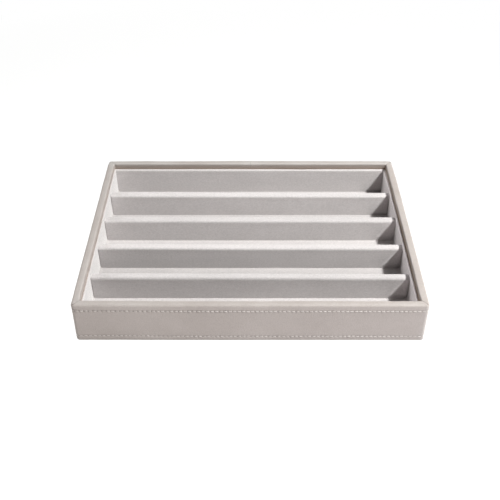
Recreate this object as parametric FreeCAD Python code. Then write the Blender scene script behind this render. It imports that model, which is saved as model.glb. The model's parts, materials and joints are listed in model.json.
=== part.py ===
import FreeCAD, Part
import os

# Open, stackable jewelry tray. Four mitred wall boards wrapped in leatherette stand
# round a base board. A velvet lining on thin cards covers the walls up to a ledge
# below the rim, a velvet floor panel lies on the base board, and velvet-covered
# dividers stand on the floor from side to side. A raised panel under the base drops
# into the recess inside the rim of another tray.
# Millimetres. X is the width, -Y the front, +Z up. The origin is at the centre of the
# face that the tray stands on.

os.makedirs("parts", exist_ok=True)
V = FreeCAD.Vector

# ---- driving dimensions ----
WIDTH = 250.0            # outside, X
DEPTH = 180.0            # outside, Y
HEIGHT = 40.0            # table to rim
PANEL_DROP = 4.0         # how far the base panel stands below the walls
CORNER_R = 2.4           # outside vertical corners of the wrap
SKIN = 0.8               # leatherette
WALL_BOARD = 3.7         # wall boards
LIP_DEPTH = 5.3          # rim down to the ledge of the lining
WRAP_TURN_IN = 16.0      # leatherette down the inside of the rim
WRAP_UNDER = 14.0        # leatherette turned under the base, from the outer face
RIM_OUTER_R = 1.4        # rounding of the rim, outside
RIM_INNER_R = 0.9        # rounding of the rim, inside
FOOT_R = 2.0             # rounding of the wrap's bottom edge
BASE_BOARD = 3.2         # base board
FLOOR_CARD = 3.0         # floor panel
VELVET = 0.4             # velvet pile and backing
LINER_CARD = 2.0         # cards behind the front and back lining
SIDE_CARD = 0.6          # cards behind the left and right lining
LINER_TURN = 10.0        # velvet turned over behind the liner card
DIVIDER_T = 5.6          # dividers, over the velvet
DIVIDER_DROP = 3.1       # ledge down to the top of a divider
DIVIDER_R = 1.6          # rounding of a divider's top edges
N_DIVIDERS = 4
STITCH_TOP_DROP = 5.5    # rim down to the upper stitch line
STITCH_FOOT_RISE = 5.1   # bottom edge of the wrap up to the lower stitch line
STITCH_H = 0.7           # thread width
STITCH_T = 0.4           # thread depth in the leatherette
PANEL_CLEAR = 0.6        # base panel to the lip of the tray below, each side
PANEL_COVER = 0.8        # cloth under and round the base panel
PANEL_R = 3.0            # corners of the base panel

# ---- derived ----
HX, HY = WIDTH / 2, DEPTH / 2
Z_WRAP = PANEL_DROP                       # bottom edge of the wrap
RIM = SKIN + WALL_BOARD + SKIN            # rim width
LIP_X, LIP_Y = HX - RIM, HY - RIM         # inner faces of the lip
BRD_X, BRD_Y = LIP_X + SKIN, LIP_Y + SKIN # inner faces of the wall boards
IN_X = LIP_X - SIDE_CARD - 2 * VELVET     # faces of the lining
IN_Y = LIP_Y - LINER_CARD - 2 * VELVET
Z_LEDGE = HEIGHT - LIP_DEPTH
Z_BASE = Z_WRAP + SKIN + BASE_BOARD       # top of the base board, which stands on the turned-under leatherette
Z_FLOOR = Z_BASE + FLOOR_CARD + VELVET    # velvet floor
Z_DIV = Z_LEDGE - DIVIDER_DROP
CELL = (2 * IN_Y - N_DIVIDERS * DIVIDER_T) / (N_DIVIDERS + 1)


def box(x0, x1, y0, y1, z0, z1):
    return Part.makeBox(x1 - x0, y1 - y0, z1 - z0, V(x0, y0, z0))


def rounded(hx, hy, r, z0, z1):
    """Upright block with rounded vertical corners."""
    b = box(-hx, hx, -hy, hy, z0, z1)
    if r <= 0:
        return b
    up = [e for e in b.Edges if abs(e.tangentAt(e.FirstParameter).z) > 0.99]
    return b.makeFillet(r, up)


def pick(shape, test):
    """Edges whose every point passes the test."""
    out = []
    for e in shape.Edges:
        pts = e.discretize(5)
        if all(test(p) for p in pts):
            out.append(e)
    return out


def near(a, b):
    return abs(a - b) < 1e-4


def save(name, shape):
    if shape.ShapeType != "Solid" and len(shape.Solids) == 1:
        shape = shape.Solids[0]
    assert shape.isValid(), name
    assert len(shape.Solids) == 1, (name, len(shape.Solids))
    shape.exportStep("parts/%s.step" % name)


# ---- wall boards: a ring with rounded outer corners, cut at the mitres ----
z0, z1 = Z_WRAP + SKIN, HEIGHT - SKIN
ring = rounded(HX - SKIN, HY - SKIN, CORNER_R - SKIN, z0, z1).cut(
    box(-BRD_X, BRD_X, -BRD_Y, BRD_Y, z0 - 1, z1 + 1))


def wedge(side):
    """Prism between the two mitre planes of one side."""
    a = 40.0
    if side in ("front", "back"):
        s = -1 if side == "front" else 1
        pts = [V(-HX - a, s * (HY + a), 0), V(HX + a, s * (HY + a), 0),
               V(HX - a, s * (HY - a), 0), V(-HX + a, s * (HY - a), 0)]
    else:
        s = -1 if side == "left" else 1
        pts = [V(s * (HX + a), -HY - a, 0), V(s * (HX + a), HY + a, 0),
               V(s * (HX - a), HY - a, 0), V(s * (HX - a), -HY + a, 0)]
    f = Part.Face(Part.makePolygon(pts + [pts[0]]))
    return f.extrude(V(0, 0, HEIGHT + 10))


for side in ("front", "back", "left", "right"):
    save(side + "_wall_board", ring.common(wedge(side)))

# ---- base board, glued between the wall boards ----
save("base_board", box(-BRD_X, BRD_X, -BRD_Y, BRD_Y, Z_WRAP + SKIN, Z_BASE))

# ---- leatherette wrap: outside, rim, inside of the lip, and turned under the base ----
wrap = rounded(HX, HY, CORNER_R, Z_WRAP, HEIGHT)
foot = pick(wrap, lambda p: near(p.z, Z_WRAP))
wrap = wrap.makeFillet(FOOT_R, foot)
wrap = wrap.makeFillet(RIM_OUTER_R, pick(wrap, lambda p: near(p.z, HEIGHT)))
wrap = wrap.cut(box(-LIP_X, LIP_X, -LIP_Y, LIP_Y, Z_WRAP + SKIN, HEIGHT + 1))
inner = pick(wrap, lambda p: near(p.z, HEIGHT) and abs(p.x) < LIP_X + 1e-4 and abs(p.y) < LIP_Y + 1e-4)
wrap = wrap.makeFillet(RIM_INNER_R, inner)
# room for the boards, below the turn-in for the lining, and inside the turn-under
wrap = wrap.cut(ring)
wrap = wrap.cut(box(-BRD_X, BRD_X, -BRD_Y, BRD_Y, Z_WRAP + SKIN, HEIGHT - WRAP_TURN_IN))
ux, uy = HX - WRAP_UNDER, HY - WRAP_UNDER
wrap = wrap.cut(box(-ux, ux, -uy, uy, Z_WRAP - 1, Z_WRAP + 2 * SKIN))


def thread(z):
    """Closed line of thread let into the face of the wrap."""
    o = rounded(HX, HY, CORNER_R, z - STITCH_H / 2, z + STITCH_H / 2)
    i = rounded(HX - STITCH_T, HY - STITCH_T, CORNER_R - STITCH_T, z - STITCH_H, z + STITCH_H)
    return o.cut(i)


upper = thread(HEIGHT - STITCH_TOP_DROP)
lower = thread(Z_WRAP + STITCH_FOOT_RISE)
wrap = wrap.cut(upper).cut(lower)
save("outer_wrap", wrap)
save("top_stitching", upper)
save("bottom_stitching", lower)

# ---- infill card: levels the underside inside the turned-under leatherette ----
save("base_infill_card", box(-ux + 0.2, ux - 0.2, -uy + 0.2, uy - 0.2, Z_WRAP, Z_WRAP + SKIN))

# ---- floor panel: reaches under the wall lining, which holds it down ----
fx, fy = BRD_X - 0.2, BRD_Y - 0.2
save("floor_card", box(-fx, fx, -fy, fy, Z_BASE, Z_BASE + FLOOR_CARD))
save("floor_velvet", box(-fx, fx, -fy, fy, Z_BASE + FLOOR_CARD, Z_FLOOR))


# ---- wall lining: velvet over the face and the top edge of a card, turned over behind ----
def liner(length, thick):
    """Card and velvet of a liner along X, its face towards +Y at y = 0, its back at -deep."""
    h = length / 2
    deep = thick + 2 * VELVET
    card = box(-h, h, -VELVET - thick, -VELVET, Z_FLOOR, Z_LEDGE - VELVET)
    skin = box(-h, h, -deep, 0, Z_FLOOR, Z_LEDGE)
    # soft top edges of the ledge
    top = [e for e in skin.Edges if e.Length > length - 1 and near(e.CenterOfMass.z, Z_LEDGE)]
    skin = skin.makeFillet(0.35, top)
    skin = skin.cut(card)
    skin = skin.cut(box(-h - 1, h + 1, -deep - 1, -VELVET - thick, Z_FLOOR - 1, Z_LEDGE - LINER_TURN))
    return card, skin


for side, length, thick, angle, at in (
    ("front", 2 * LIP_X, LINER_CARD, 0, V(0, -IN_Y, 0)),
    ("back", 2 * LIP_X, LINER_CARD, 180, V(0, IN_Y, 0)),
    ("left", 2 * IN_Y, SIDE_CARD, -90, V(-IN_X, 0, 0)),
    ("right", 2 * IN_Y, SIDE_CARD, 90, V(IN_X, 0, 0)),
):
    for kind, shape in zip(("card", "velvet"), liner(length, thick)):
        s = shape.copy()
        s.rotate(V(0, 0, 0), V(0, 0, 1), angle)
        s.translate(at)
        save("liner_%s_%s" % (side, kind), s)

# ---- dividers: board core in a velvet sleeve, standing on the velvet floor ----
for k in range(N_DIVIDERS):
    yc = -IN_Y + (k + 1) * (CELL + DIVIDER_T) - DIVIDER_T / 2
    ht = DIVIDER_T / 2
    core = box(-IN_X, IN_X, yc - ht + VELVET, yc + ht - VELVET, Z_FLOOR, Z_DIV - VELVET)
    top = [e for e in core.Edges if e.Length > IN_X and near(e.CenterOfMass.z, Z_DIV - VELVET)]
    core = core.makeFillet(DIVIDER_R - VELVET, top)
    sleeve = box(-IN_X, IN_X, yc - ht, yc + ht, Z_FLOOR, Z_DIV)
    top = [e for e in sleeve.Edges if e.Length > IN_X and near(e.CenterOfMass.z, Z_DIV)]
    sleeve = sleeve.makeFillet(DIVIDER_R, top).cut(core)
    save("divider_%d_core" % (k + 1), core)
    save("divider_%d_velvet" % (k + 1), sleeve)

# ---- base panel: drops into the recess of the tray below ----
px, py = LIP_X - PANEL_CLEAR, LIP_Y - PANEL_CLEAR
board = rounded(px - PANEL_COVER, py - PANEL_COVER, PANEL_R - PANEL_COVER, PANEL_COVER, PANEL_DROP)
cover = rounded(px, py, PANEL_R, 0, PANEL_DROP)
cover = cover.makeFillet(0.7, pick(cover, lambda p: near(p.z, 0)))
cover = cover.cut(board)
save("base_panel_board", board)
save("base_panel_cover", cover)

print("cell", round(CELL, 3), "inside", 2 * IN_X, 2 * IN_Y, "floor", Z_FLOOR, "divider top", Z_DIV, "ledge", Z_LEDGE)
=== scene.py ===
import json
import math

import bpy
import numpy as np
from mathutils import Matrix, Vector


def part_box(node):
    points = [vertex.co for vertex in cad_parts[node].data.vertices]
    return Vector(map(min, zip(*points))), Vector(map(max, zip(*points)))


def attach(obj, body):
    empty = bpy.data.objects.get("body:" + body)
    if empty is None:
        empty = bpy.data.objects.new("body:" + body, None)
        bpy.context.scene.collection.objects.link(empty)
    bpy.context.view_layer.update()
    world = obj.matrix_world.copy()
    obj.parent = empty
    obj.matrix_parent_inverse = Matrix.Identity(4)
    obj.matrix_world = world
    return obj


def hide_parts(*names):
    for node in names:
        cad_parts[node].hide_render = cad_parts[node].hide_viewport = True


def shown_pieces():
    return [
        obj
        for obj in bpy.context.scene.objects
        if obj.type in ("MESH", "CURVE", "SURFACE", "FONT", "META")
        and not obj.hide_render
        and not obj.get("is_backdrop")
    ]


# Open jewelry tray: leatherette-wrapped walls with two rows of stitching, a recessed
# velvet lining, velvet-covered dividers and a cloth-covered base panel.
# Lengths are in millimetres up to the mesh, which is in metres.

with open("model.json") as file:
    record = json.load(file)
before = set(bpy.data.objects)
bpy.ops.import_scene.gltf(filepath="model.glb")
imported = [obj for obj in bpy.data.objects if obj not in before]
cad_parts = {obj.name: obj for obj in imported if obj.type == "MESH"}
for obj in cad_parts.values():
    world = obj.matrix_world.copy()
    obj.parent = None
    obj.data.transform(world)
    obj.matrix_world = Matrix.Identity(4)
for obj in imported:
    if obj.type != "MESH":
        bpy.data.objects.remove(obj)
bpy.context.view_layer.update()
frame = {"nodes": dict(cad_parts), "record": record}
SCENE = bpy.context.scene

# ---- sizes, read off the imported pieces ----
MM = 0.001


def span(node):
    lo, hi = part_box(node)
    return np.array(lo) / MM, np.array(hi) / MM


WRAP_LO, WRAP_HI = span("outer_wrap")
HX, HY = WRAP_HI[0], WRAP_HI[1]
Z_FOOT, Z_RIM = WRAP_LO[2], WRAP_HI[2]
CORNER_R, RIM_R, RIM_IN_R, FOOT_R = 2.4, 1.4, 0.9, 2.0
SKIN = 0.8
LIP = HX - span("liner_front_velvet")[1][0]          # width of the rim
TURN_IN, UNDER = 16.0, 14.0
Z_STITCH = [float(np.mean([span(n)[0][2], span(n)[1][2]])) for n in ("bottom_stitching", "top_stitching")]
LIP_X, LIP_Y = HX - LIP, HY - LIP
IN_X, IN_Y = span("liner_right_velvet")[0][0], span("liner_back_velvet")[0][1]
Z_FLOOR, Z_LEDGE = span("floor_velvet")[1][2], span("liner_front_velvet")[1][2]
VELVET = 0.4
TURNED = 10.0                                          # velvet turned over behind a liner card
DIVIDERS = [span("divider_%d_velvet" % k) for k in (1, 2, 3, 4)]
N_STITCHES = 272


# ---- small tools ----
def lattice(p, cell, seed):
    """Smooth noise from -1 to 1 at points p (n, 3), with features about one cell wide."""
    q = np.asarray(p, float) / np.asarray(cell, float)
    i = np.floor(q).astype(np.int64)
    f = q - i
    u = f * f * f * (f * (f * 6 - 15) + 10)

    def corner(dx, dy, dz):
        h = (i[:, 0] + dx) * 374761393 + (i[:, 1] + dy) * 668265263 + (i[:, 2] + dz) * 1274126177 + seed * 974711
        h &= 0xFFFFFFFF
        h = ((h ^ (h >> 13)) * 1103515245) & 0xFFFFFFFF
        h = ((h ^ (h >> 15)) * 668265261) & 0xFFFFFFFF
        h ^= h >> 16
        return (h & 0xFFFF) / 32767.5 - 1

    out = 0
    for dx in (0, 1):
        for dy in (0, 1):
            for dz in (0, 1):
                w = ((u[:, 0] if dx else 1 - u[:, 0]) * (u[:, 1] if dy else 1 - u[:, 1])
                     * (u[:, 2] if dz else 1 - u[:, 2]))
                out = out + w * corner(dx, dy, dz)
    return out


def bell(x, width):
    return np.exp(-(np.asarray(x, float) / width) ** 2)


def step(x, a, b):
    """0 before a, 1 after b, smooth between."""
    t = np.clip((np.asarray(x, float) - a) / (b - a), 0, 1)
    return t * t * (3 - 2 * t)


def arc(cn, cz, r, a0, a1, count):
    """Points and outward directions on an arc of a section, ends included."""
    a = np.radians(np.linspace(a0, a1, count))
    return [(cn + r * math.cos(t), cz + r * math.sin(t), math.cos(t), math.sin(t)) for t in a]


def piece(name, verts, faces, material, sharp=60, attrs=None):
    """A mesh object from points in millimetres."""
    me = bpy.data.meshes.new(name)
    me.from_pydata((np.asarray(verts, float) * MM).tolist(), [], faces)
    for key, values in (attrs or {}).items():
        a = me.attributes.new(key, "FLOAT", "POINT")
        a.data.foreach_set("value", np.asarray(values, np.float32))
    me.materials.append(material)
    me.polygons.foreach_set("use_smooth", np.ones(len(me.polygons), bool))
    me.update()
    me.set_sharp_from_angle(angle=math.radians(sharp))
    ob = bpy.data.objects.new(name, me)
    SCENE.collection.objects.link(ob)
    return ob


def grid_faces(rows, cols, close_rows=False, close_cols=False, first=0):
    """Quads of a grid of points stored row by row."""
    r = np.arange(rows if close_rows else rows - 1)
    c = np.arange(cols if close_cols else cols - 1)
    rr, cc = np.meshgrid(r, c, indexing="ij")
    a = rr * cols + cc
    b = rr * cols + (cc + 1) % cols
    d = ((rr + 1) % rows) * cols + cc
    e = ((rr + 1) % rows) * cols + (cc + 1) % cols
    return (np.stack([a, b, e, d], -1).reshape(-1, 4) + first).tolist()


# ---- materials ----
def nodes_of(name):
    mat = bpy.data.materials.new(name)
    mat.use_nodes = True
    nt = mat.node_tree
    nt.nodes.clear()
    out = nt.nodes.new("ShaderNodeOutputMaterial")
    bsdf = nt.nodes.new("ShaderNodeBsdfPrincipled")
    nt.links.new(bsdf.outputs[0], out.inputs[0])
    coord = nt.nodes.new("ShaderNodeTexCoord").outputs["Object"]
    return mat, nt, bsdf, coord


def add(nt, kind, links=(), **values):
    n = nt.nodes.new(kind)
    for key, v in values.items():
        if hasattr(n, key):
            setattr(n, key, v)
        else:
            n.inputs[key.replace("__", " ")].default_value = v
    for socket, source in dict(links).items():
        nt.links.new(source, n.inputs[socket])
    return n


def stretch(nt, coord, scale):
    m = nt.nodes.new("ShaderNodeMapping")
    m.inputs["Scale"].default_value = scale
    nt.links.new(coord, m.inputs["Vector"])
    return m.outputs[0]


def noise(nt, coord, scale, detail=2.0, rough=0.5):
    return add(nt, "ShaderNodeTexNoise", {"Vector": coord}, Scale=scale, Detail=detail, Roughness=rough).outputs["Fac"]


def cells(nt, coord, scale, feature="F1", smooth=0.0):
    n = add(nt, "ShaderNodeTexVoronoi", {"Vector": coord}, feature=feature, Scale=scale)
    if feature == "SMOOTH_F1":
        n.inputs["Smoothness"].default_value = smooth
    return n.outputs["Distance"]


def ramp(nt, fac, stops):
    n = nt.nodes.new("ShaderNodeValToRGB")
    e = n.color_ramp.elements
    while len(e) < len(stops):
        e.new(0.5)
    for el, (pos, col) in zip(e, stops):
        el.position = pos
        el.color = (*col, 1.0) if len(col) == 3 else col
    nt.links.new(fac, n.inputs[0])
    return n.outputs[0]


def ranged(nt, fac, a, b, c, d):
    n = nt.nodes.new("ShaderNodeMapRange")
    for i, v in enumerate((a, b, c, d), 1):
        n.inputs[i].default_value = v
    nt.links.new(fac, n.inputs[0])
    return n.outputs[0]


def math_node(nt, op, a, b):
    n = nt.nodes.new("ShaderNodeMath")
    n.operation = op
    for i, v in enumerate((a, b)):
        if isinstance(v, (int, float)):
            n.inputs[i].default_value = v
        else:
            nt.links.new(v, n.inputs[i])
    return n.outputs[0]


def mix(nt, fac, a, b, blend="MIX"):
    n = nt.nodes.new("ShaderNodeMix")
    n.data_type = "RGBA"
    n.blend_type = blend
    for i, v in ((0, fac), (6, a), (7, b)):
        if isinstance(v, tuple):
            n.inputs[i].default_value = (*v, 1.0)
        elif isinstance(v, (int, float)):
            n.inputs[i].default_value = v
        else:
            nt.links.new(v, n.inputs[i])
    return n.outputs[2]


def attribute(nt, name):
    n = nt.nodes.new("ShaderNodeAttribute")
    n.attribute_name = name
    return n.outputs["Fac"]


def bump(nt, height, strength, distance, below=None):
    n = add(nt, "ShaderNodeBump", {"Height": height}, Strength=strength, Distance=distance)
    if below is not None:
        nt.links.new(below, n.inputs["Normal"])
    return n.outputs[0]


def leatherette():
    """Fine pebbled grain, a little paler where edges are worn and with a painted highlight on rims, rolled edges and
    corners; a painted shade in the sewing holes, creases and folds, browner on the lips, and darker along the back
    seam.
    """
    mat, nt, bsdf, co = nodes_of("leatherette_taupe")
    pebble = cells(nt, co, 1150.0, "SMOOTH_F1", 0.35)
    pores = noise(nt, co, 2600.0, 3.0, 0.6)
    cloud = noise(nt, co, 38.0, 5.0, 0.55)
    crease = noise(nt, stretch(nt, co, (1.0, 1.0, 1.7)), 260.0, 4.0, 0.6)
    col = ramp(nt, cloud, [(0.28, (0.402, 0.354, 0.332)), (0.72, (0.456, 0.407, 0.385))])
    col = mix(nt, ranged(nt, pebble, 0.25, 0.75, 0.0, 0.32), col, (0.313, 0.271, 0.252))
    col = mix(nt, ranged(nt, crease, 0.42, 0.72, 0.0, 0.16), col, (0.520, 0.480, 0.455))
    col = mix(nt, ranged(nt, pores, 0.55, 0.8, 0.0, 0.16), col, (0.344, 0.301, 0.283))
    # paler where edges are worn, together with a painted highlight
    worn_and_highlit = math_node(nt, "MULTIPLY", attribute(nt, "wear_and_highlight"), ranged(nt, cloud, 0.3, 0.7, 0.25, 0.75))
    col = mix(nt, worn_and_highlit, col, (0.520, 0.500, 0.483))
    # painted shade on the lips, browner
    col = mix(nt, attribute(nt, "lip_shade"), col, (0.350, 0.255, 0.190))
    # painted shade in creases, folds, tucks and sewing holes, and the dark of the back seam
    col = mix(nt, attribute(nt, "shade_and_seam"), col, (0.156, 0.129, 0.113))
    nt.links.new(col, bsdf.inputs["Base Color"])
    nt.links.new(ranged(nt, crease, 0.2, 0.8, 0.44, 0.62), bsdf.inputs["Roughness"])
    height = math_node(nt, "ADD", math_node(nt, "MULTIPLY", pebble, -1.0), math_node(nt, "MULTIPLY", pores, 0.35))
    n = bump(nt, crease, 0.25, 0.0004)
    nt.links.new(bump(nt, height, 0.45, 0.00016, n), bsdf.inputs["Normal"])
    bsdf.inputs["Specular IOR Level"].default_value = 0.5
    return mat


def velvet(name, dark, light, pale, sheen=1.0):
    """Short dense pile: fine fibre noise, brushed patches, a tone per piece that is partly the way the pile lies and
    partly painted shade and light, and a sheen.
    """
    mat, nt, bsdf, co = nodes_of(name)
    fibre = noise(nt, co, 5200.0, 2.0, 0.6)
    tuft = noise(nt, co, 1500.0, 3.0, 0.6)
    brushed = noise(nt, stretch(nt, co, (0.45, 1.0, 1.0)), 62.0, 4.0, 0.6)
    patch = noise(nt, stretch(nt, co, (0.6, 1.0, 1.0)), 17.0, 3.0, 0.5)
    col = ramp(nt, math_node(nt, "ADD", math_node(nt, "MULTIPLY", brushed, 0.55), math_node(nt, "MULTIPLY", patch, 0.45)),
               [(0.33, dark), (0.67, light)])
    col = mix(nt, ranged(nt, tuft, 0.35, 0.75, 0.0, 0.52), col, pale)
    col = mix(nt, ranged(nt, fibre, 0.3, 0.5, 0.26, 0.0), col, tuple(0.62 * c for c in dark))
    col = mix(nt, ranged(nt, tuft, 0.26, 0.46, 0.22, 0.0), col, tuple(0.74 * c for c in dark))
    grain = noise(nt, stretch(nt, co, (0.8, 1.0, 1.0)), 760.0, 2.0, 0.6)
    # tone per piece from the attribute: partly the way the pile lies, partly painted shade and light
    tone = math_node(nt, "MULTIPLY", ranged(nt, grain, 0.3, 0.7, 0.92, 1.08), math_node(nt, "ADD", attribute(nt, "nap_and_painted_light"), 1.0))
    col = mix(nt, 1.0, col, tone, "MULTIPLY")
    nt.links.new(col, bsdf.inputs["Base Color"])
    height = math_node(nt, "ADD", math_node(nt, "MULTIPLY", fibre, 0.5), tuft)
    n = bump(nt, brushed, 0.06, 0.0012)
    nt.links.new(bump(nt, height, 0.55, 0.00035, n), bsdf.inputs["Normal"])
    bsdf.inputs["Roughness"].default_value = 0.95
    bsdf.inputs["Specular IOR Level"].default_value = 0.12
    bsdf.inputs["Sheen Weight"].default_value = sheen
    bsdf.inputs["Sheen Roughness"].default_value = 0.55
    bsdf.inputs["Sheen Tint"].default_value = (1.0, 0.985, 0.975, 1.0)
    return mat


def thread():
    mat, nt, bsdf, co = nodes_of("sewing_thread")
    fuzz = noise(nt, co, 6500.0, 3.0, 0.65)
    tone = noise(nt, co, 240.0, 2.0)
    col = ramp(nt, tone, [(0.3, (0.555, 0.515, 0.490)), (0.7, (0.640, 0.605, 0.580))])
    col = mix(nt, ranged(nt, fuzz, 0.5, 0.8, 0.0, 0.35), col, (0.46, 0.42, 0.39))
    nt.links.new(col, bsdf.inputs["Base Color"])
    nt.links.new(bump(nt, fuzz, 0.5, 0.00008), bsdf.inputs["Normal"])
    bsdf.inputs["Roughness"].default_value = 0.62
    bsdf.inputs["Specular IOR Level"].default_value = 0.3
    bsdf.inputs["Sheen Weight"].default_value = 0.25
    return mat


def fibreboard():
    mat, nt, bsdf, co = nodes_of("fibreboard")
    chips = cells(nt, stretch(nt, co, (1.0, 1.0, 2.2)), 820.0)
    dust = noise(nt, co, 2400.0, 4.0, 0.7)
    tone = noise(nt, co, 60.0, 3.0)
    col = ramp(nt, tone, [(0.3, (0.47, 0.355, 0.245)), (0.7, (0.57, 0.445, 0.315))])
    col = mix(nt, ranged(nt, chips, 0.1, 0.7, 0.0, 0.4), col, (0.35, 0.25, 0.165))
    col = mix(nt, ranged(nt, dust, 0.5, 0.75, 0.0, 0.35), col, (0.66, 0.54, 0.40))
    nt.links.new(col, bsdf.inputs["Base Color"])
    nt.links.new(bump(nt, dust, 0.4, 0.0002), bsdf.inputs["Normal"])
    bsdf.inputs["Roughness"].default_value = 0.86
    return mat


def grey_card():
    mat, nt, bsdf, co = nodes_of("grey_card")
    fibres = noise(nt, stretch(nt, co, (0.25, 1.0, 1.0)), 1500.0, 4.0, 0.65)
    specks = cells(nt, co, 420.0)
    col = ramp(nt, fibres, [(0.3, (0.43, 0.40, 0.355)), (0.7, (0.53, 0.50, 0.45))])
    col = mix(nt, ranged(nt, specks, 0.0, 0.16, 0.5, 0.0), col, (0.30, 0.27, 0.24))
    nt.links.new(col, bsdf.inputs["Base Color"])
    nt.links.new(bump(nt, fibres, 0.3, 0.0001), bsdf.inputs["Normal"])
    bsdf.inputs["Roughness"].default_value = 0.9
    return mat


LEATHER = leatherette()
VELVET_MAT = velvet("velvet_pale_grey", (0.479, 0.451, 0.450), (0.547, 0.516, 0.515), (0.616, 0.584, 0.581))
# the floor's velvet is the same velvet made a little darker: a painted shade
FLOOR_MAT = velvet("velvet_floor_shaded", (0.452, 0.424, 0.421), (0.517, 0.486, 0.483), (0.583, 0.552, 0.548))
BASE_MAT = velvet("base_felt", (0.36, 0.335, 0.318), (0.45, 0.42, 0.40), (0.50, 0.47, 0.45), 0.35)
THREAD = thread()
BOARD, CARD = fibreboard(), grey_card()


# ---- the leatherette wrap ----
def corner_radius(n):
    """Plan radius of the ring at offset n from the outer face (n is negative inwards)."""
    r = CORNER_R + np.asarray(n, float)
    return 0.5 * (r + 1.3 + np.sqrt((r - 1.3) ** 2 + 0.15))


def straight_marks(length, extra=()):
    """Distances along one straight side, closer together towards its ends."""
    ends = [0.0, 0.35, 0.8, 1.4, 2.2, 3.2]
    inner = np.linspace(ends[-1], length - ends[-1], int(round((length - 2 * ends[-1]) / 1.6)) + 1)[1:-1]
    marks = ends + list(inner) + [length - e for e in reversed(ends)]
    for at in extra:
        marks = [m for m in marks if abs(m - at) > 0.9] + [at + d for d in (-0.8, -0.45, -0.22, -0.09, 0.0, 0.09, 0.22, 0.45, 0.8)]
    return np.array(sorted(marks))


SIDE = [2 * (HX - CORNER_R), 2 * (HY - CORNER_R)] * 2        # back, left, front, right
ARC = math.pi / 2 * CORNER_R
RING = sum(SIDE) + 4 * ARC
PITCH = RING / N_STITCHES
SEAM = SIDE[0] / 2                                            # butt seam, middle of the back


def ring_columns(fine):
    """Columns of the ring: (side or corner number, is it a corner, fraction, distance along the outer face).
    The fine set holds every coarse column, and three steps for each coarse step of a straight side."""
    out, coarse_at, s = [], [], 0.0
    for k in range(4):
        marks = straight_marks(SIDE[k], (SEAM,) if k == 0 else ())
        for i in range(len(marks) - 1):
            coarse_at.append(len(out))
            step_count = 3 if fine and marks[i + 1] - marks[i] > 0.7 else 1
            for j in range(step_count):
                m = marks[i] + (marks[i + 1] - marks[i]) * j / step_count
                out.append((k, 0, m / SIDE[k], s + m))
        s += SIDE[k]
        for i in range(10):
            coarse_at.append(len(out))
            out.append((k, 1, i / 10, s + ARC * i / 10))
        s += ARC
    a = np.array(out)
    return {"k": a[:, 0].astype(int), "corner": a[:, 1] > 0.5, "f": a[:, 2], "s": a[:, 3], "coarse": np.array(coarse_at)}


def ring_xy(col, n):
    """Plan position of each column at offset n (one value each)."""
    n = np.broadcast_to(np.asarray(n, float), col["f"].shape)
    hx, hy, r = HX + n, HY + n, corner_radius(n)
    sx, sy = hx - r, hy - r
    k, f = col["k"], col["f"]
    x = np.select([k == 0, k == 1, k == 2, k == 3], [sx - 2 * sx * f, -hx, -sx + 2 * sx * f, hx])
    y = np.select([k == 0, k == 1, k == 2, k == 3], [hy, sy - 2 * sy * f, -hy, -sy + 2 * sy * f])
    ang = np.radians(90 + 90 * k + 90 * f)
    cx = np.select([k == 0, k == 1, k == 2, k == 3], [-sx, -sx, sx, sx])
    cy = np.select([k == 0, k == 1, k == 2, k == 3], [sy, -sy, -sy, sy])
    c = col["corner"]
    return np.where(c, cx + r * np.cos(ang), x), np.where(c, cy + r * np.sin(ang), y)


def wrap_section():
    """Rows of the section: (offset, height, direction, fine columns, how the row is treated)."""
    rows = []
    for n in (-UNDER, -12.0, -10.0, -8.0, -6.0, -4.6, -3.4, -2.5):
        rows.append((n, Z_FOOT, 0.0, -1.0, 0, "under"))
    rows += [(*p, 0, "foot") for p in arc(-FOOT_R, Z_FOOT + FOOT_R, FOOT_R, -90, 0, 9)]
    marks = [(z, 0) for z in (7.0, 12.2, 14.4, 17.0, 19.6, 22.2, 24.8, 27.4, 29.8, 31.6, 36.6, 37.1, 37.5)]
    for z in Z_STITCH:
        marks += [(z + d, 1) for d in (-1.6, -1.2, -0.88, -0.62, -0.4, -0.2, 0.0, 0.2, 0.4, 0.62, 0.88, 1.2, 1.6)]
    rows += [(0.0, z, 1.0, 0.0, fine, "face") for z, fine in sorted(marks)]
    rows += [(*p, 0, "rim") for p in arc(-RIM_R, Z_RIM - RIM_R, RIM_R, 0, 90, 10)]
    top = -LIP + RIM_IN_R
    rows += [(-RIM_R + (top + RIM_R) * t, Z_RIM, 0.0, 1.0, 0, "rim") for t in (0.25, 0.5, 0.75)]
    rows += [(*p, 0, "rim") for p in arc(top, Z_RIM - RIM_IN_R, RIM_IN_R, 90, 180, 8)]
    rows += [(-LIP, z, -1.0, 0.0, 0, "lip") for z in (38.0, 37.0, 36.0, 35.0, 34.2, 33.2, 30.5, 27.0, Z_RIM - TURN_IN)]
    rows += [(n, z, 0.0, 0.0, 0, "back") for n, z in (
        (-LIP + SKIN, Z_RIM - TURN_IN), (-LIP + SKIN, 32.0), (-LIP + SKIN, Z_RIM - SKIN), (-2.7, Z_RIM - SKIN),
        (-SKIN, Z_RIM - SKIN), (-SKIN, 22.0), (-SKIN, Z_FOOT + SKIN), (-7.0, Z_FOOT + SKIN), (-UNDER, Z_FOOT + SKIN))]
    return rows


def stands_high(x, y, z):
    """How far the wrap is drawn up at the front left corner, the lower stitch line most."""
    return step(-np.asarray(x), 30.0, 112.0) * step(-np.asarray(y), HY - 60, HY - 6) * (
        0.33 + 0.42 * step(z, 6.0, 8.5) - 0.30 * step(z, 11.0, 33.0) - 0.20 * step(z, 35.5, 39.0))


def stands_out(x, y, z):
    """How far the lower part of the side walls stands out in X towards the front, more on the left."""
    x, y = np.asarray(x), np.asarray(y)
    low = step(-y, HY - 45, HY - 8) * (1 - step(z, 8.0, 34.0))
    return low * (0.32 * step(x, HX - 14, HX - 2) - 0.55 * step(-x, HX - 14, HX - 2))


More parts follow.
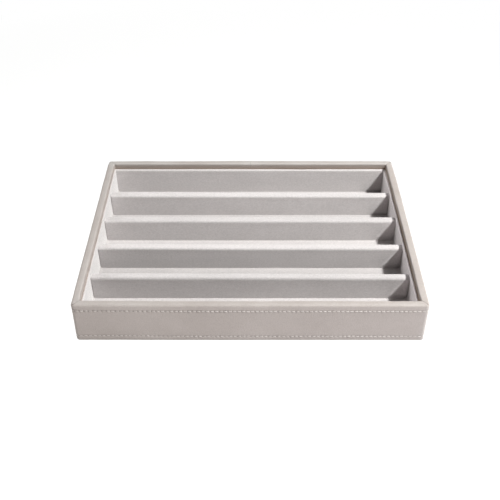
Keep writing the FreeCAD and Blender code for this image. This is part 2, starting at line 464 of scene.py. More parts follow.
def stitch_relief(s, x, z):
    """How the sewing draws the leatherette in, with a painted shade in the holes and above the stitches: (height,
    darkening) at distance s along the face, at x and height z.
    """
    h, dark = np.zeros_like(s), np.zeros_like(s)
    to_hole = (s / PITCH + 0.5) % 1.0 * PITCH - PITCH / 2
    for zs, deep, ease, line, dash_shadow in zip(Z_STITCH, (0.65, 1.0), (0.0, 0.38), (0.02, 0.09), (0.07, 0.24)):
        d = z - zs
        deep = deep * (1 - ease * step(x, -60.0, 60.0))
        h += deep * (-0.24 * bell(d, 0.62) + 0.13 * bell(np.abs(d) - 1.45, 0.75))
        h += deep * 0.05 * np.cos(2 * math.pi * to_hole / PITCH) * -bell(np.abs(d) - 0.9, 0.7)
        hole = bell(np.hypot(to_hole, d * 1.1), 0.46)
        h += -0.20 * deep * hole
        # painted shade in the holes and along the stitch line, weaker towards the right
        dark += deep * (0.11 * bell(np.hypot(to_hole * 0.8, d), 0.34) + 0.04 * bell(d, 0.5)) * (1 - 0.5 * step(x, -20.0, HX))
        # a painted shadow just above the stitches, in dashes, stronger towards the left
        shadow_above = (line + dash_shadow * np.cos(2 * math.pi * to_hole / PITCH)) * (1.25 - 1.15 * step(x, -110.0, 40.0))
        dark += np.clip(shadow_above, 0, 1) * bell(d - 0.75, 0.36)
    return h, np.clip(dark, 0, 1)


def build_wrap():
    cols = {0: ring_columns(False), 1: ring_columns(True)}
    assert np.allclose(cols[1]["s"][cols[1]["coarse"]], cols[0]["s"])
    rows, verts, wear_and_highlight, shade_and_seam, lip_shade, start, total = wrap_section(), [], [], [], [], [], 0
    for n0, z0, dn, dz, fine, kind in rows:
        col = cols[fine]
        count = len(col["f"])
        x, y = ring_xy(col, n0)
        p = np.stack([x, y, np.full(count, z0)], 1)
        d, dark, pale_wear_and_highlight, painted_lip_shade = np.zeros(count), np.zeros(count), np.zeros(count), np.zeros(count)
        if kind != "back":
            d += 0.10 * lattice(p, 46.0, 3) + 0.05 * lattice(p, 15.0, 4) + 0.025 * lattice(p, 5.0, 5)
            off = ((HX - np.abs(x)) - (HY - np.abs(y))) / math.sqrt(2)      # from the mitre line
            if kind in ("rim", "lip"):
                d += 0.07 * lattice(p, 9.0, 6)
                # folded corners: a crease along the mitre, a soft swelling on each side, and a painted shade in the
                # crease
                w = 1.0 if n0 < -1.0 else max(0.0, -n0)
                w *= 1.0 if z0 > 36 else 0.5
                wander = 0.30 * lattice(p, 2.4, 7)
                d += w * (-0.32 * bell(off + wander, 0.34) + 0.10 * bell(np.abs(off) - 1.3, 0.8))
                dark += w * (0.20 + 0.14 * lattice(p, 1.7, 16)) * bell(off + wander, 0.22)
                # small wrinkles gathered into the fold, with a painted shade in their hollows
                fold = lattice(p, (1.5, 1.5, 3.0), 17) * bell(off, 2.6)
                d += w * 0.11 * fold
                dark += w * 0.30 * np.clip(-fold - 0.15, 0, 1)
            if kind == "lip":
                # painted shade on the lips: browner and darker towards the ledge, more on the right lip and less on the
                # left
                painted_lip_shade += (0.25 + 0.50 * step(z0, 37.6, 34.4) if z0 > 34.4 else 0.75) + 0.25 * step(x, LIP_X - 2, LIP_X) - 0.32 * step(-x, LIP_X - 2, LIP_X)
            if kind == "rim":
                crown = math.sin(math.pi * np.clip((-n0) / LIP, 0, 1))
                d += 0.10 * crown * dz
                front = step(-y, HY - 7, HY - 5)
                # paler rim, partly worn edges and partly a painted highlight: its rolled outer edge (less on the right
                # side), its inner edge, its top, the back rim and the left rim
                pale_wear_and_highlight += (0.30 - 0.10 * front) * bell(n0 + 0.75 + 0.9 * front, 0.8) * (1 - 0.9 * step(x, HX - 9, HX - 5)) + 0.20 * bell(n0 + LIP - 0.5, 0.5) + 0.20 * max(dz, 0.0)
                pale_wear_and_highlight += 0.55 * step(y, HY - 9, HY - 5) + (0.40 + 0.35 * step(y, 0.0, 60.0)) * step(-x, HX - 9, HX - 5) * bell(n0 + 3.7, 1.5)
                # the far left corner is drawn a little rounder
                d += -0.55 * bell(off, 1.7) * step(y, HY - 8, HY - 5) * step(-x, 0.0, 9.0) * step(n0, -2.0, -0.6)
                # the left half of the back edge is drawn in
                d -= 0.30 * step(y, HY - 5.5, HY - 4.0) * step(n0, -2.0, -0.6) * step(-x, 10.0, 80.0)
                # the far right corner is drawn in, and the right edge bows out in the middle
                far = step(x, HX - 5.5, HX - 4.0) * step(n0, -2.0, -0.6)
                d += far * (0.26 * bell(y, 48.0) - 0.36 * step(y, HY - 30, HY - 8)) - 0.35 * bell(off, 1.7) * step(y, HY - 8, HY - 5) * step(x, 0.0, 9.0) * step(n0, -2.0, -0.6)
                # the front edge is rolled a little more
                d -= 0.10 * max(2 * dn * dz, 0.0) * step(-y, HY - 2.5, HY - 1.5)
                # a small pinch at the outer end of each mitre, with a painted shadow in it
                d += -0.46 * bell(np.hypot(off, (n0 + 1.1) * 0.9), 0.46)
                dark += 0.7 * bell(np.hypot(off, (n0 + 1.1) * 0.9), 0.42)
            if kind == "under":
                # a crease along each mitre underneath, with a painted shade in it
                d += -0.35 * bell(off + 0.4 * lattice(p, 4.0, 8), 0.4) + 0.12 * bell(np.abs(off) - 1.6, 0.9)
                dark += 0.5 * bell(off + 0.4 * lattice(p, 4.0, 8), 0.3)
            if kind == "foot":
                d += 0.05 * lattice(p, 8.0, 9)
                pale_wear_and_highlight += 0.5 * bell(z0 - Z_FOOT - 0.7, 1.0)
            if kind in ("face", "foot", "rim"):
                # the stitch relief, with its painted shade in the holes and above the stitches
                h, hole = stitch_relief(col["s"], x, np.full(count, z0))
                on = 1.0 if kind == "face" else 0.5
                d += h * on
                dark += hole * on
                # painted highlight on the corners and on the right end of the front face, apart from the front left
                # corner, which gets a painted shade instead
                bend = np.where(col["corner"], np.sin(math.pi * np.clip(col["f"], 0, 1)), 0) * (kind == "face")
                shaded_corner = col["corner"] & (col["k"] == 1)
                pale_wear_and_highlight += 0.4 * np.where(shaded_corner, 0.0, bend)
                pale_wear_and_highlight += 0.40 * step(x, HX - 6.5, HX - 1.0) * step(-y, HY - 3.0, HY - 2.0) * (kind == "face")
                dark += np.where(shaded_corner, 0.22 * (1 - col["f"] ** 3), 0.0)
                # the turned-over leatherette is tucked in under the rim at each corner, with a painted shadow under the
                # tuck, less on the right
                tuck = bell(z0 - 36.2, 0.45) * bell(off, 2.3) * (0.8 + 0.3 * lattice(p, 1.4, 18)) * (1 - 0.6 * step(x, -9.0, 9.0))
                d += -0.34 * tuck
                dark += 0.80 * tuck
            # the ends of the strip meet in the middle of the back
            seam = np.where((col["k"] == 0) & ~col["corner"], col["s"] - SEAM, 99.0)
            d += -0.30 * bell(seam, 0.13) + 0.05 * np.where(seam < 50, np.sign(seam), 0) * bell(seam, 1.4)
            dark += 0.7 * bell(seam, 0.10)
        if kind == "rim" and n0 > -2.2:
            d = np.maximum(d, -0.42)                 # stays over the board's edge
        n, z = n0 + d * dn, z0 + d * dz
        if kind == "under":
            z = np.maximum(z, Z_FOOT - 0.12)
        if kind != "back":
            z = z + stands_high(x, y, z0)
            # the rim is slightly wider at the back, and on both sides towards the back
            wider = np.select([col["k"] == 0, col["k"] == 1, col["k"] == 3], [
                0.42 + 0 * y, 0.26 * np.clip(y / 70, -1, 1) * step(y + HY, 6.0, 12.0),
                (0.09 + 0.25 * step(-y, 55.0, 72.0) + 0.27 * step(y, 5.0, 45.0) + 0.30 * step(y, 45.0, 80.0)) * step(y + HY, 6.0, 12.0)], 0.0)
            wider = np.where(col["corner"], np.select([col["k"] == 0, col["k"] == 3], [0.30, 0.50], 0.0), wider)
            n = n - wider * step(-n0, 2.4, 5.0) * step(z0, 34.4, 35.2)
        x, y = ring_xy(col, n)
        if kind != "back":
            x = x + stands_out(x, y, z0)
        verts.append(np.stack([x, y, np.broadcast_to(z, x.shape)], 1))
        shade_and_seam.append(np.clip(dark, 0, 1))
        wear_and_highlight.append(np.clip(pale_wear_and_highlight, 0, 1))
        lip_shade.append(np.clip(painted_lip_shade, 0, 1))
        start.append(total)
        total += count
    faces = []
    for i in range(len(rows)):
        j = (i + 1) % len(rows)
        a, b = rows[i][4], rows[j][4]
        na, nb = len(cols[a]["f"]), len(cols[b]["f"])
        if a == b:
            c = np.arange(na)
            c1 = (c + 1) % na
            faces += np.stack([start[i] + c, start[i] + c1, start[j] + c1, start[j] + c], 1).tolist()
            continue
        idx = np.append(cols[1]["coarse"], len(cols[1]["f"]))
        nc, nf = len(cols[0]["f"]), len(cols[1]["f"])
        for c in range(nc):
            many = [q % nf for q in range(idx[c], idx[c + 1] + 1)]
            if b == 1:
                faces.append([start[i] + c, start[i] + (c + 1) % nc] + [start[j] + q for q in reversed(many)])
            else:
                faces.append([start[i] + q for q in many] + [start[j] + (c + 1) % nc, start[j] + c])
    return piece("leatherette_wrap", np.concatenate(verts), faces, LEATHER, 70,
                 {"shade_and_seam": np.concatenate(shade_and_seam), "wear_and_highlight": np.concatenate(wear_and_highlight), "lip_shade": np.concatenate(lip_shade)})


# ---- stitches ----
def on_face(s):
    """Point and outward direction on the outer face at distance s along the ring."""
    s = np.asarray(s, float) % RING
    x, y, nx, ny = (np.zeros_like(s) for _ in range(4))
    sx, sy = HX - CORNER_R, HY - CORNER_R
    at = 0.0
    starts = [(sx, HY, -1, 0, 0, 1), (-HX, sy, 0, -1, -1, 0), (-sx, -HY, 1, 0, 0, -1), (HX, -sy, 0, 1, 1, 0)]
    centres = [(-sx, sy), (-sx, -sy), (sx, -sy), (sx, sy)]
    for k in range(4):
        x0, y0, tx, ty, ox, oy = starts[k]
        m = (s >= at) & (s < at + SIDE[k])
        x[m], y[m] = x0 + tx * (s[m] - at), y0 + ty * (s[m] - at)
        nx[m], ny[m] = ox, oy
        at += SIDE[k]
        m = (s >= at) & (s < at + ARC)
        a = math.radians(90 + 90 * k) + (s[m] - at) / CORNER_R
        nx[m], ny[m] = np.cos(a), np.sin(a)
        x[m], y[m] = centres[k][0] + CORNER_R * nx[m], centres[k][1] + CORNER_R * ny[m]
        at += ARC
    return x, y, nx, ny


def build_stitches(name, zs, seed, sunk):
    """One closed row of separate stitches of two-ply thread, each dipping into the hole at either end."""
    rng = np.random.default_rng(seed)
    around, along = 10, 15
    u = np.linspace(-1, 1, along)
    ang = np.linspace(0, 2 * math.pi, around, endpoint=False)
    verts, faces = [], []
    base = np.array(grid_faces(along, around, close_cols=True))
    cap_a, cap_b = list(range(around)), list(range((along - 1) * around, along * around))
    for k in range(N_STITCHES):
        mid = (k + 0.5) * PITCH
        lean = math.radians(rng.normal(3.5, 1.2))
        lift, wide = rng.normal(0, 0.03), 1 + rng.normal(0, 0.05)
        turn = rng.uniform(0, 2 * math.pi)
        along_s = u * PITCH * 0.43
        s = mid + along_s * math.cos(lean)
        x, y, nx, ny = on_face(s)
        z = zs + along_s * math.sin(lean) + rng.normal(0, 0.025) + stands_high(x, y, zs)
        out = 0.02 - sunk - 0.05 * (1 - x / HX) + lift - 0.60 * np.abs(u) ** 5.0 - 0.05 * u ** 2
        slim = wide * (1 - 0.30 * np.abs(u) ** 6)
        # two plies: the outline of a pair of strands, turning along the stitch
        ply = 1 + 0.13 * np.cos(2 * (ang[None, :] - turn - u[:, None] * PITCH / 2 * 2 * math.pi / 1.5))
        a = 0.34 * slim[:, None] * ply * np.cos(ang)[None, :]
        b = 0.29 * slim[:, None] * ply * np.sin(ang)[None, :]
        px = (x + stands_out(x, y, zs))[:, None] + nx[:, None] * (out[:, None] + b)
        py = y[:, None] + ny[:, None] * (out[:, None] + b)
        pz = z[:, None] + a
        first = len(verts) * along * around
        verts.append(np.stack([px, py, pz], -1).reshape(-1, 3))
        faces += (base[:, ::-1] + first).tolist()
        faces.append([first + q for q in cap_a])
        faces.append([first + q for q in reversed(cap_b)])
    return piece(name, np.concatenate(verts), faces, THREAD, 80)


# ---- velvet pieces ----
def soft(p, seed, low=0.10, fine=0.012):
    """Uneven pile: broad and small unevenness of a velvet face."""
    return low * lattice(p, 28.0, seed) + 0.5 * low * lattice(p, 9.0, seed + 1) + fine * lattice(p, 2.4, seed + 2)


def right_lean(y, z):
    """How far the right lining leans in: its foot less towards the front, its far end more."""
    return 0.72 * step(y, 52.0, 80.0) - (0.42 - 0.30 * step(y, -25.0, 48.0)) * (1 - step(z, 27.0, 33.0))


def build_liner(name, length, deep, angle, at, seed, over=0.0, edge=0.0, tone=(-0.05, 0.04), lean=None, foot=0.0):
    """Velvet over the face and top of a liner card and down behind it, along its own X, its face towards +Y at y = 0."""
    top, r0, r1 = Z_LEDGE, 0.15 + 0.32 * deep, 0.2 + 0.2 * deep
    sec = [(0.0, z, 1.0, 0.0, 1) for z in np.linspace(Z_FLOOR - 0.15, top - r0 - 0.6, 22)]
    sec += [(*p, 1) for p in arc(-r0, top - r0, r0, 0, 90, 8)]
    sec += [(-(r0 + deep - r1) / 2, top, 0.0, 1.0, 1)]
    sec += [(*p, 1) for p in arc(-deep + r1, top - r1, r1, 90, 180, 6)]
    low, inner = top - TURNED, -deep + VELVET
    sec += [(-deep, z, -1.0, 0.0, 0) for z in (32.0, 28.0, low)]
    sec += [(inner, low, 0, 0, 0), (inner, top - VELVET, 0, 0, 0), (-VELVET, top - VELVET, 0, 0, 0), (-VELVET, Z_FLOOR - 0.15, 0, 0, 0)]
    h = length / 2 + over
    xs = np.concatenate([[-h], np.linspace(-h + 0.5, h - 0.5, int(length / 1.15)), [h]])
    verts, nap_and_painted_light = [], []
    for n, z, dn, dz, live in sec:
        p = np.stack([xs, np.full_like(xs, n), np.full_like(xs, z)], 1)
        # painted shade and light: darker towards the floor and lighter towards the top, a top edge painted lighter on
        # some linings and darker on others, and a painted shade at the foot towards one end
        face = tone[0] + (tone[1] - tone[0]) * step(z, Z_FLOOR + 1, top - 1)
        shade = foot * step(-xs, length / 2 - 24, length / 2 - 8) * (1 - step(z, Z_FLOOR + 0.5, Z_FLOOR + 4.0))
        nap_and_painted_light.append(face + edge * step(z, top - 1.4, top - 0.4) - shade)
        if live:
            d = soft(p, seed) * step(z, Z_FLOOR, Z_FLOOR + 2.5)
            d += 0.07 * lattice(p, (22.0, 50.0, 50.0), seed + 7) * step(z, top - 3, top - 0.5)     # wavy top edge
            d -= 0.10 * (1 - step(z, Z_FLOOR, Z_FLOOR + 1.6))
            if dn > 0.05 and dz > 0.05:
                d = np.maximum(d, -0.06)             # stays over the card's edge
            p[:, 1] += d * dn
            if lean is not None:
                p[:, 1] += lean(xs, z) * step(n, -deep, -0.4)
            p[:, 2] += d * dz
        elif lean is not None and n == -VELVET:
            p[:, 1] -= 0.28                          # the inner side stays against the card
        verts.append(p)
    v = np.concatenate(verts)
    faces = grid_faces(len(sec), len(xs), close_rows=True)
    ends = [i * len(xs) for i in range(len(sec))]
    faces = [f[::-1] for f in faces]
    faces.append([e for e in ends])
    faces.append([e + len(xs) - 1 for e in reversed(ends)])
    a = math.radians(angle)
    c, s = math.cos(a), math.sin(a)
    v = np.stack([v[:, 0] * c - v[:, 1] * s + at[0], v[:, 0] * s + v[:, 1] * c + at[1], v[:, 2]], 1)
    return piece(name, v, faces, VELVET_MAT, 65, {"nap_and_painted_light": np.concatenate(nap_and_painted_light)})


def build_divider(name, lo, hi, seed, foot_tone, head_tone, top_tone, top_tone_right, top_tone_left_end, foot, pale, r, raised):
    """Velvet sleeve over a divider's core: two faces and a softly rounded top. Each sleeve has a tone of its own, with
    painted shade and light over it.
    """
    yc, half, top = (lo[1] + hi[1]) / 2, (hi[1] - lo[1]) / 2, hi[2]
    rb, bottom = 1.1, Z_FLOOR - 0.15                    # rounding towards the back; r is the one towards the front
    sec = [(half, z, 1.0, 0.0, 1) for z in np.linspace(bottom, top - rb - 0.5, 19)]
    sec += [(*p, 1) for p in arc(half - rb, top - rb, rb, 0, 90, 9)]
    sec += [(t, top, 0.0, 1.0, 1) for t in np.linspace(half - rb, -half + r, 5)[1:-1]]
    sec += [(*p, 1) for p in arc(-half + r, top - r, r, 90, 180, 9)]
    sec += [(-half, z, -1.0, 0.0, 1) for z in np.linspace(top - r - 0.5, bottom, 19)]
    ih, it = half - VELVET, top - VELVET
    core = 1.2
    sec += [(-ih, bottom, 0, 0, 0)] + [(a[0], a[1], 0, 0, 0) for a in arc(-ih + core, it - core, core, 180, 90, 4)]
    sec += [(a[0], a[1], 0, 0, 0) for a in arc(ih - core, it - core, core, 90, 0, 4)] + [(ih, bottom, 0, 0, 0)]
    h = hi[0]
    edge = np.array([0.0, 0.12, 0.3, 0.55, 0.9])
    xs = np.concatenate([-h + edge, np.linspace(-h + 1.6, h - 1.6, int(2 * h / 1.15)), h - edge[::-1]])
    rise = np.interp(xs, (-h, 0.0, h), raised)          # the top stands a little higher on the left
    verts, nap_and_painted_light = [], []
    for y, z, dy, dz, live in sec:
        p = np.stack([xs, np.full_like(xs, yc + y), np.full_like(xs, z)], 1)
        # painted shade and light on the faces: a darker foot and a lighter head, and a painted shade at the foot by the
        # right end
        face = foot_tone + (head_tone - foot_tone) * step(z, Z_FLOOR + 1, top - 2)
        shade = foot * step(xs, h - 24, h - 8) * (1 - step(z, Z_FLOOR + 0.5, Z_FLOOR + 4.0)) * max(-dy, 0.0)
        end = h - 5.0 - 0.70 * (top - z)                 # painted light in the shadow at the right end of the face, above its foot
        shade = shade - pale * step(xs, end, end + 3.0) * step(z, Z_FLOOR + 2.0, Z_FLOOR + 6.0) * max(-dy, 0.0)
        # tone of the top, painted darker towards the right and lighter at its left end
        nap_and_painted_light.append(face * abs(dy) - shade + (top_tone + top_tone_right * xs / h + top_tone_left_end * step(-xs, h - 11, h - 2)) * max(dz, 0.0))
        if live:
            d = soft(p, seed) * step(z, Z_FLOOR, Z_FLOOR + 2.5)
            d += 0.08 * lattice(p, (26.0, 60.0, 60.0), seed + 7) * step(z, top - 4, top - 0.5)
            d -= 0.12 * (1 - step(z, Z_FLOOR, Z_FLOOR + 1.6))
            # the ends turn in where they meet the lining
            e = np.clip(1 - (h - np.abs(xs)) / 0.9, 0, 1)
            d -= 0.45 * e ** 2.2
            p[:, 1] += d * dy
            p[:, 2] += d * dz + rise * step(z, top - 5.0, top - 0.8)
        verts.append(p)
    v = np.concatenate(verts)
    faces = [f[::-1] for f in grid_faces(len(sec), len(xs), close_rows=True)]
    ends = [i * len(xs) for i in range(len(sec))]
    faces.append(ends)
    faces.append([e + len(xs) - 1 for e in reversed(ends)])
    return piece(name, v, faces, VELVET_MAT, 65, {"nap_and_painted_light": np.concatenate(nap_and_painted_light)})


def build_floor(name):
    """Velvet floor: level under the lining and the dividers, with the pile heaped into the corners of each compartment."""
    lo, hi = span("floor_velvet")
    hx, hy = hi[0], hi[1]
    near = np.array([0.0, 0.06, 0.18, 0.36, 0.62, 0.95, 1.4, 1.95])
    xs = np.concatenate([[-hx], -IN_X + near, np.linspace(-IN_X + 2.6, IN_X - 2.6, 190), IN_X - near[::-1], [hx]])
    walls = [-IN_Y] + [v for a, b in DIVIDERS for v in (a[1], b[1])] + [IN_Y]
    ys = [-hy]
    for a, b in zip(walls[0::2], walls[1::2]):
        ys += list(a + near) + list(np.linspace(a + 2.6, b - 2.6, 20)) + list(b - near[::-1])
    ys = np.array(ys + [hy])
    X, Y = np.meshgrid(xs, ys)
    p = np.stack([X.ravel(), Y.ravel(), np.full(X.size, Z_FLOOR)], 1)
    # distance to the nearest wall or divider face; negative under them
    dx = IN_X - np.abs(X)
    dy = np.full_like(Y, -1.0)
    for a, b in zip(walls[0::2], walls[1::2]):
        dy = np.maximum(dy, np.minimum(Y - a, b - Y))
    inside = (dx > -1e-6) & (dy > -1e-6)

    def cove(d, w, h):
        t = np.clip(1 - d / w, 0, 1)
        return h * (1 - np.sqrt(np.clip(1 - t * t, 0, 1)))

    z = np.where(inside, soft(p, 61, 0.12, 0.03).reshape(X.shape), 0.0)
    heap = np.maximum(cove(dx, 2.5, 2.2), cove(dy, 0.5, 0.3))
    z = z + np.where(inside, heap, 0.0)
    p[:, 2] = Z_FLOOR + z.ravel()
    n = len(p)
    low = p.copy()
    low[:, 2] = Z_FLOOR - VELVET
    rows, cols = X.shape
    faces = grid_faces(rows, cols) + [f[::-1] for f in grid_faces(rows, cols, first=n)]
    rim = ([(0, c) for c in range(cols)] + [(r, cols - 1) for r in range(1, rows)]
           + [(rows - 1, c) for c in range(cols - 2, -1, -1)] + [(r, 0) for r in range(rows - 2, 0, -1)])
    ids = [r * cols + c for r, c in rim]
    for a, b in zip(ids, ids[1:] + ids[:1]):
        faces.append([a, a + n, b + n, b])
    # painted shade and light in the floor's tone: darker towards the right and along the left end, and a tone of its
    # own for each compartment, from the front
    tone = -0.03 * X / IN_X - 0.10 * step(-X, IN_X - 9, IN_X - 1)
    for a, b, t in zip(walls[0::2], walls[1::2], (0.024, -0.10, 0.053, -0.085, 0.0)):
        tone = tone + np.where((Y > a - 1) & (Y < b + 1), t, 0.0)
    return piece(name, np.concatenate([p, low]), faces, FLOOR_MAT, 65, {"nap_and_painted_light": np.tile(tone.ravel(), 2)})


# ---- base panel cloth ----
def build_base(name):
    """Cloth drawn tight over the base panel: a soft-edged plate seen from below, turned up round its sides."""
    lo, hi = span("base_panel_cover")
    hx, hy, top = LIP_X - 0.6, LIP_Y - 0.6, hi[2]
    nx, ny = 96, 68

    def plate(inset, z_low, z_high, r_edge, live):
        """Sides and underside of a rounded plate, as rings of points from the top edge inwards."""
        rings = [(0.0, z) for z in np.linspace(z_high, z_low + r_edge, 4)]
        rings += [(r_edge * (1 - math.cos(t)), z_low + r_edge * (1 - math.sin(t))) for t in np.linspace(0, math.pi / 2, 7)[1:]]
        deepest = hy - inset
        rings += [(d, z_low) for d in np.concatenate([[2.0, 4.0, 7.0], np.linspace(10, deepest - 1.0, 24)])]
        return rings

    per = []
    for k in range(4):
        count = (nx, ny, nx, ny)[k]
        per += [(k, 0, i / count) for i in range(count)] + [(k, 1, i / 6) for i in range(6)]
    per = np.array(per)
    k, corner, f = per[:, 0].astype(int), per[:, 1] > 0.5, per[:, 2]

    def ring_at(depth, inset):
        ax, ay = hx - inset - depth, hy - inset - depth
        r = max(3.0 - inset - 0.35 * depth, 0.02)
        r = min(r, ay * 0.9)
        sx, sy = ax - r, ay - r
        x = np.select([k == 0, k == 1, k == 2, k == 3], [sx - 2 * sx * f, -ax + 0 * f, -sx + 2 * sx * f, ax + 0 * f])
        y = np.select([k == 0, k == 1, k == 2, k == 3], [ay + 0 * f, sy - 2 * sy * f, -ay + 0 * f, -sy + 2 * sy * f])
        a = np.radians(90 + 90 * k + 90 * f)
        cx = np.select([k == 0, k == 1, k == 2, k == 3], [-sx, -sx, sx, sx])
        cy = np.select([k == 0, k == 1, k == 2, k == 3], [sy, -sy, -sy, sy])
        return np.where(corner, cx + r * np.cos(a), x), np.where(corner, cy + r * np.sin(a), y)

    verts, faces = [], []

    def shell(inset, z_low, z_high, r_edge, live, flip):
        first = sum(len(v) for v in verts)
        rings = plate(inset, z_low, z_high, r_edge, live)
        for depth, z in rings:
            x, y = ring_at(depth, inset)
            p = np.stack([x, y, np.full_like(x, z)], 1)
            if live:
                p[:, 2] += np.abs(0.06 * lattice(p, 30.0, 81) + 0.03 * lattice(p, 6.0, 82)) * step(depth, 0.4, 3.0)
            verts.append(p)
        m = len(k)
        q = grid_faces(len(rings), m, close_cols=True, first=first)
        last = [first + (len(rings) - 1) * m + i for i in range(m)]
        if flip:
            faces.extend(f[::-1] for f in q)
            faces.append(last[::-1])
        else:
            faces.extend(q)
            faces.append(last)
        return first, m

    a, m = shell(0.0, lo[2], top, 0.9, True, True)
    b, m = shell(0.8, lo[2] + 0.8, top, 0.3, False, False)
    for i in range(m):
        j = (i + 1) % m
        faces.append([a + i, a + j, b + j, b + i])
    return piece(name, np.concatenate(verts), faces, BASE_MAT, 65)


# ---- make the pieces ----
def put(ob, node):
    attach(ob, "root")
    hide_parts(node)
    return ob


wrap = put(build_wrap(), "outer_wrap")
put(build_stitches("top_stitches", Z_STITCH[1], 11, 0.0), "top_stitching")
put(build_stitches("bottom_stitches", Z_STITCH[0], 12, 0.15), "bottom_stitching")
# edge and tone are painted light and shade: a lighter top edge on the left and right linings, most on the right one,
# which lies in shade, a darker one on the back, and a ramp from a darker foot to a lighter head; the back lining also
# gets a painted shade at its foot by the right end
for side, length, deep, angle, at, seed, over, edge, tone in (
    ("front", 2 * LIP_X, LIP_Y - IN_Y, 0, (0, -IN_Y), 21, 0.0, 0.0, (-0.05, 0.04)),
    ("back", 2 * LIP_X, LIP_Y - IN_Y, 180, (0, IN_Y), 24, 0.0, -0.08, (-0.07, 0.13)),
    ("left", 2 * IN_Y, LIP_X - IN_X, -90, (-IN_X, 0), 27, 0.5, 0.11, (-0.05, 0.04)),
    ("right", 2 * IN_Y, LIP_X - IN_X, 90, (IN_X - 0.3, 0), 33, 0.5, 0.48, (-0.08, 0.17)),
):
    lean = right_lean if side == "right" else None
    ob = put(build_liner("lining_" + side, length, deep, angle, at, seed, over, edge, tone, lean, 0.42 if side == "back" else 0.0),
             "liner_%s_velvet" % side)
floor = put(build_floor("compartment_floor"), "floor_velvet")
# tone of each divider's velvet, from the front, partly its own and partly painted shade and light: tone of the foot,
# head and top, how its top is painted darker to the right and lighter at its left end, and the painted shade of its
# foot and the painted light on its face at the right end
DIVIDER_TONES = [(-0.15, -0.08, -0.07, -0.03, 0.17, 0.0, 0.32), (-0.23, 0.015, 0.07, -0.065, 0.06, 0.12, 0.25),
       (-0.06, 0.18, -0.045, -0.02, 0.17, 0.0, 0.25), (-0.06, 0.18, 0.02, -0.025, 0.07, 0.40, 0.0)]
# front rounding, and how much higher the top stands at its left end, middle and right end
TOPS = [(1.75, (0.72, 0.48, 0.0)), (1.75, (0.55, 0.0, 0.0)), (2.0, (0.40, 0.40, 0.25)), (1.75, (0.45, 0.20, 0.0))]
for i, (lo, hi) in enumerate(DIVIDERS, 1):
    ob = put(build_divider("divider_%d_sleeve" % i, lo, hi, 40 + 9 * i, *DIVIDER_TONES[i - 1], *TOPS[i - 1]), "divider_%d_velvet" % i)
base = put(build_base("base_panel_cloth"), "base_panel_cover")

for node, ob in frame["nodes"].items():
    slot = next(s["material_slot"] for s in frame["record"]["subparts"] if s["node"] == node)
    look = {"board": BOARD, "card": CARD}.get(slot)
    if look is not None:
        for i in range(len(ob.material_slots)):
            ob.material_slots[i].material = look
        if not ob.material_slots:
            ob.data.materials.append(look)

# ---- floor, light and camera ----
mat = bpy.data.materials.new("studio_floor")
mat.use_nodes = True
paper = mat.node_tree.nodes["Principled BSDF"]
paper.inputs["Base Color"].default_value = (0.92, 0.92, 0.915, 1.0)
paper.inputs["Roughness"].default_value = 0.9
paper.inputs["Specular IOR Level"].default_value = 0.1
# evenly white to the camera; the light that it throws back on the walls is weaker close round the base,
# where the tray shades the floor, and stronger towards the key light
ft = mat.node_tree
place = ft.nodes.new("ShaderNodeSeparateXYZ")
ft.links.new(ft.nodes.new("ShaderNodeTexCoord").outputs["Object"], place.inputs[0])
gaps = []
for axis, half in ((0, HX * MM), (1, HY * MM)):
    d = math_node(ft, "SUBTRACT", math_node(ft, "ABSOLUTE", place.outputs[axis], 0.0), half)
    gaps.append(math_node(ft, "POWER", math_node(ft, "MAXIMUM", d, 0.0), 2.0))
away = math_node(ft, "SQRT", math_node(ft, "ADD", *gaps), 0.0)
shade = ranged(ft, away, 0.0, 0.010, 0.35, 1.0)
ft.links.new(ranged(ft, place.outputs[0], -HX * MM, HX * MM, 0.30, 0.75), shade.node.inputs[3])
across = ranged(ft, place.outputs[0], -0.30, 0.30, 0.74, 1.26)
glow = ft.nodes.new("ShaderNodeEmission")
ft.links.new(mix(ft, ranged(ft, place.outputs[0], -0.16, 0.16, 0.0, 1.0), (1.0, 0.978, 0.955), (1.0, 0.987, 1.0)), glow.inputs[0])
ft.links.new(math_node(ft, "MULTIPLY", math_node(ft, "MULTIPLY", shade, across), 1.56), glow.inputs[1])
total = ft.nodes.new("ShaderNodeMixShader")
ft.links.new(ft.nodes.new("ShaderNodeLightPath").outputs["Is Camera Ray"], total.inputs[0])
ft.links.new(glow.outputs[0], total.inputs[1])
# far from the tray it is as white as the surroundings, and it doesn't hide the tray from below
distant = ft.nodes.new("ShaderNodeEmission")
level = ft.nodes.new("ShaderNodeMixShader")
ft.links.new(ranged(ft, away, 0.20, 0.45, 0.0, 1.0), level.inputs[0])
ft.links.new(paper.outputs[0], level.inputs[1])
ft.links.new(distant.outputs[0], level.inputs[2])
sides = ft.nodes.new("ShaderNodeMixShader")
ft.links.new(ft.nodes.new("ShaderNodeNewGeometry").outputs["Backfacing"], sides.inputs[0])
ft.links.new(level.outputs[0], sides.inputs[1])
ft.links.new(ft.nodes.new("ShaderNodeBsdfTransparent").outputs[0], sides.inputs[2])
ft.links.new(sides.outputs[0], total.inputs[2])
ft.links.new(total.outputs[0], ft.nodes["Material Output"].inputs[0])
me = bpy.data.meshes.new("studio_floor")
me.from_pydata([(-12, -7, -0.0004), (12, -7, -0.0004), (0, 14, -0.0004)], [], [(0, 1, 2)])
me.materials.append(mat)
ground = bpy.data.objects.new("studio_floor", me)
SCENE.collection.objects.link(ground)
ground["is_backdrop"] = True


def area_light(name, toward, distance, size, power, colour=(1, 1, 1)):
    """Round area light in direction toward from the tray, facing it."""
    d = np.array(toward, float)
    d /= np.linalg.norm(d)
    data = bpy.data.lights.new(name, "AREA")
    data.shape, data.size, data.energy, data.color = "DISK", size, power, colour
    ob = bpy.data.objects.new(name, data)
    z = d
    x = np.cross((0, 0, 1), z)
    x /= np.linalg.norm(x)
    y = np.cross(z, x)
    m = np.eye(4)
    m[:3, 0], m[:3, 1], m[:3, 2], m[:3, 3] = x, y, z, d * distance
    ob.matrix_world = Matrix(m.tolist())
    SCENE.collection.objects.link(ob)
    return ob


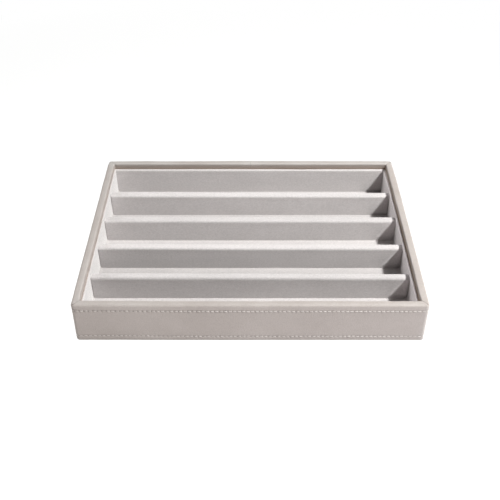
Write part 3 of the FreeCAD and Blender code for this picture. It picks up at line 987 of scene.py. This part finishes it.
def lit_by(light, receivers, blockers=None):
    """Limits what a light falls on, and what shades it."""
    group = bpy.data.collections.new(light.name + "_on")
    for o in receivers:
        group.objects.link(o)
    light.light_linking.receiver_collection = group
    if blockers is not None:
        group = bpy.data.collections.new(light.name + "_past")
        for o in blockers:
            group.objects.link(o)
        light.light_linking.blocker_collection = group


key = area_light("key", (0.605, -0.225, 0.920), 1.124, 0.085, 19.2, (0.99, 1.0, 0.982))
fill = area_light("fill_left", (-0.84, 0.28, 0.48), 1.5, 0.9, 6.0, (1.0, 0.99, 0.985))
fill_pile = area_light("fill_velvet", (-0.84, 0.28, 0.48), 1.5, 0.9, 11.3, (1.0, 0.955, 0.968))
# the floor has its own soft light from above, so that it stays evenly pale
over = area_light("floor_light", (0.10, -0.10, 1.0), 2.6, 2.6, 96.0)
# the fills stand for light from the left that the pile of the upright velvet catches most
lit_by(key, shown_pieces())
lit_by(fill, [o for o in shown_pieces() if FLOOR_MAT not in o.data.materials[:]])
lit_by(fill_pile, [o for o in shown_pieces() if VELVET_MAT in o.data.materials[:]])
lit_by(over, [ground], [ground])

world = bpy.data.worlds.new("studio")
SCENE.world = world
world.use_nodes = True
wt = world.node_tree
sky = wt.nodes["Background"]
sky.inputs[0].default_value = (1.0, 1.0, 1.0, 1.0)
sky.inputs[1].default_value = 0.045
# the surroundings look white to the camera, and light the tray only faintly
white = wt.nodes.new("ShaderNodeBackground")
white.inputs[0].default_value = (1.0, 1.0, 1.0, 1.0)
white.inputs[1].default_value = 1.0
seen = wt.nodes.new("ShaderNodeLightPath").outputs["Is Camera Ray"]
both = wt.nodes.new("ShaderNodeMixShader")
wt.links.new(seen, both.inputs[0])
wt.links.new(sky.outputs[0], both.inputs[1])
wt.links.new(white.outputs[0], both.inputs[2])
wt.links.new(both.outputs[0], wt.nodes["World Output"].inputs[0])

cam = bpy.data.cameras.new("camera")
cam.sensor_width, cam.lens = 36.0, 53.15
cam.shift_x, cam.shift_y = -0.0005, -0.06
cam.clip_start, cam.clip_end = 0.01, 50.0
eye = bpy.data.objects.new("camera", cam)
eye.location = (0.0, -0.45282, 0.40579)
eye.rotation_euler = (math.radians(51.412), 0.0, 0.0)
SCENE.collection.objects.link(eye)
SCENE.camera = eye
SCENE.view_settings.view_transform = "Standard"
